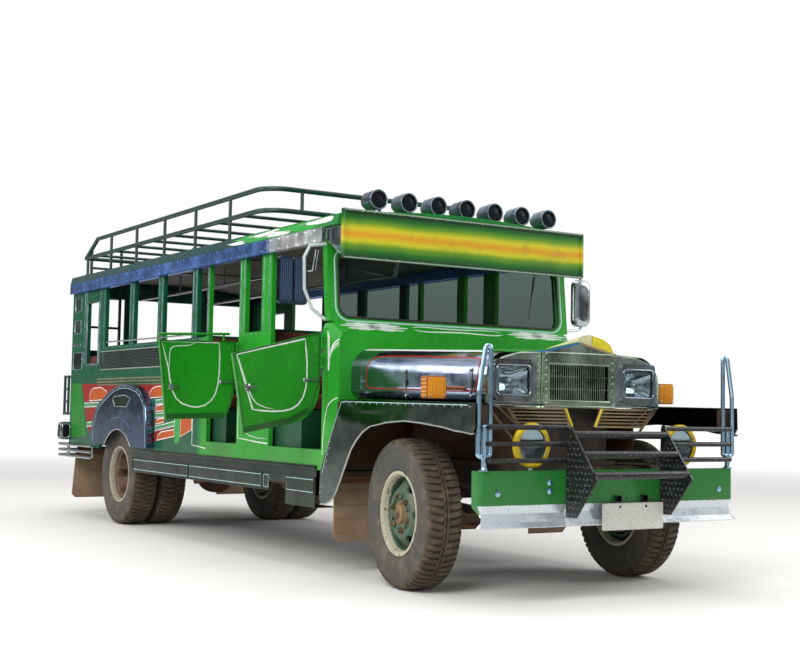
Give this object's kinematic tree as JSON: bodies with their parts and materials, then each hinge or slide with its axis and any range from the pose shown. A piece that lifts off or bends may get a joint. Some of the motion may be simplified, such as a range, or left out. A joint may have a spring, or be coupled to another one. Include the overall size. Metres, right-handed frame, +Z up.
{
  "type": "passenger jeepney",
  "caption": "Long-bodied passenger jeepney on a truck chassis: stainless-clad front, open coach body, roof rack, steered front wheels, twin rear wheels and hinged doors.",
  "frame": {"origin": "on the ground, under the middle of the whole with its right doors standing open", "axes": "+X forward, +Y to the vehicle's left, +Z up"},
  "size_m": [6.773, 2.6632, 2.422],
  "materials": {
    "bright_green": "gloss enamel",
    "deep_green": "gloss enamel",
    "stainless": "polished sheet",
    "chrome": "plated",
    "black_tube": "worn gloss",
    "rack_green": "gloss",
    "chassis_black": "dusty matt",
    "rusty_steel": "rusty",
    "cast_grey": "oily",
    "tyre": "dusty",
    "wheel_green": "worn",
    "wheel_brown": "dusty",
    "glass": "clear",
    "amber": "lens",
    "rubber_flap": "dusty",
    "vinyl": "vinyl",
    "black_plastic": "moulded",
    "sign_paint": "gloss"
  },
  "bodies": {
    "vehicle": {"bull_bar": "black_tube", "bumper_posts": "chrome", "cowl": "bright_green", "cross_members": "chassis_black", "dashboard": "black_plastic", "driveshaft": "chassis_black", "engine_block": "cast_grey", "exhaust": "rusty_steel", "floor": "deep_green", "frame_rails": "chassis_black", "front_axle": "rusty_steel", "front_bumper": "bright_green", "front_fenders": "stainless", "front_panels": "stainless", "fuel_tank": "chassis_black", "glass": "glass", "grille": "stainless", "gutter_strips": "stainless", "hinges": "bright_green", "hood": "bright_green", "hood_sides": "stainless", "lamp_bodies": "chrome", "leaf_springs": "chassis_black", "mirrors": "chrome", "mud_flaps": "rubber_flap", "radiator": "chassis_black", "rear_axle": "rusty_steel", "rear_bumper": "chrome", "rear_fenders": "stainless", "rear_ladder": "rack_green", "rear_posts": "deep_green", "rear_wall": "deep_green", "roof": "deep_green", "roof_lamps": "chrome", "roof_rack": "rack_green", "seat_frames": "deep_green", "seat_pads": "vinyl", "side_panels": "deep_green", "side_steps": "stainless", "sign_board": "sign_paint", "signal_lamps": "amber", "sill_strips": "deep_green", "window_posts": "deep_green", "windscreen_frame": "bright_green"},
    "knuckle_left": {"knuckle_left": "cast_grey"},
    "knuckle_right": {"knuckle_right": "cast_grey"},
    "track_rod": {"track_rod": "chassis_black"},
    "wheel_front_left": {"wheel_front_left": "wheel_green", "tyre_front_left": "tyre"},
    "wheel_front_right": {"wheel_front_right": "wheel_green", "tyre_front_right": "tyre"},
    "wheels_rear_left": {"wheel_rear_left": "wheel_brown", "tyres_rear_left": "tyre"},
    "wheels_rear_right": {"wheel_rear_right": "wheel_brown", "tyres_rear_right": "tyre"},
    "steering_wheel": {"steering_wheel": "black_plastic"},
    "door_front_left": {"door_front_left": "bright_green"},
    "door_front_right": {"door_front_right": "bright_green"},
    "door_second_left": {"door_second_left": "bright_green"},
    "door_second_right": {"door_second_right": "bright_green"}
  },
  "joints": [
    {"name": "steer_right", "type": "hinge", "parent": "vehicle", "child": "knuckle_right", "pos_m": [2.3865, -0.42906, 0.405], "axis": [0, 0, 1], "range_deg": [-23.5, 36.5]},
    {"name": "steer_left", "type": "hinge", "parent": "vehicle", "child": "knuckle_left", "pos_m": [2.3865, 0.79094, 0.405], "axis": [0, 0, 1], "range_deg": [-23.5, 36.5]},
    {"name": "track_rod_pivot", "type": "hinge", "parent": "knuckle_right", "child": "track_rod", "pos_m": [2.23746, -0.41208, 0.303], "axis": [0, 0, 1], "range_deg": [-36.5, 23.5]},
    {"name": "steering_wheel_turn", "type": "hinge", "parent": "vehicle", "child": "steering_wheel", "pos_m": [1.2665, 0.60094, 1.285], "axis": [-0.8002, 0, 0.5997], "range_deg": [-376, 584]},
    {"name": "wheel_front_left_spin", "type": "hinge", "parent": "knuckle_left", "child": "wheel_front_left", "pos_m": [2.40269, 0.93302, 0.405], "axis": [0.1132, 0.9936, 0], "continuous": true},
    {"name": "wheel_front_right_spin", "type": "hinge", "parent": "knuckle_right", "child": "wheel_front_right", "pos_m": [2.37031, -0.57114, 0.405], "axis": [0.1132, 0.9936, 0], "continuous": true},
    {"name": "wheels_rear_left_spin", "type": "hinge", "parent": "vehicle", "child": "wheels_rear_left", "pos_m": [-1.9295, 0.82594, 0.405], "axis": [0, 1, 0], "continuous": true},
    {"name": "wheels_rear_right_spin", "type": "hinge", "parent": "vehicle", "child": "wheels_rear_right", "pos_m": [-1.9295, -0.46406, 0.405], "axis": [0, 1, 0], "continuous": true},
    {"name": "door_front_right_hinge", "type": "hinge", "parent": "vehicle", "child": "door_front_right", "pos_m": [1.5915, -0.73106, 1.28], "axis": [0, 0, 1], "range_deg": [-95, 5]},
    {"name": "door_front_left_hinge", "type": "hinge", "parent": "vehicle", "child": "door_front_left", "pos_m": [1.5915, 1.09294, 1.28], "axis": [0, 0, 1], "range_deg": [-100, 0]},
    {"name": "door_second_right_hinge", "type": "hinge", "parent": "vehicle", "child": "door_second_right", "pos_m": [0.4105, -0.73106, 1.28], "axis": [0, 0, 1], "range_deg": [-95, 5]},
    {"name": "door_second_left_hinge", "type": "hinge", "parent": "vehicle", "child": "door_second_left", "pos_m": [0.4105, 1.09294, 1.28], "axis": [0, 0, 1], "range_deg": [-100, 0]}
  ],
  "couplings": [
    {"joint": "steer_left", "follows": "steer_right", "ratio": 1},
    {"joint": "track_rod_pivot", "follows": "steer_right", "ratio": -1},
    {"joint": "steering_wheel_turn", "follows": "steer_right", "ratio": 16}
  ]
}
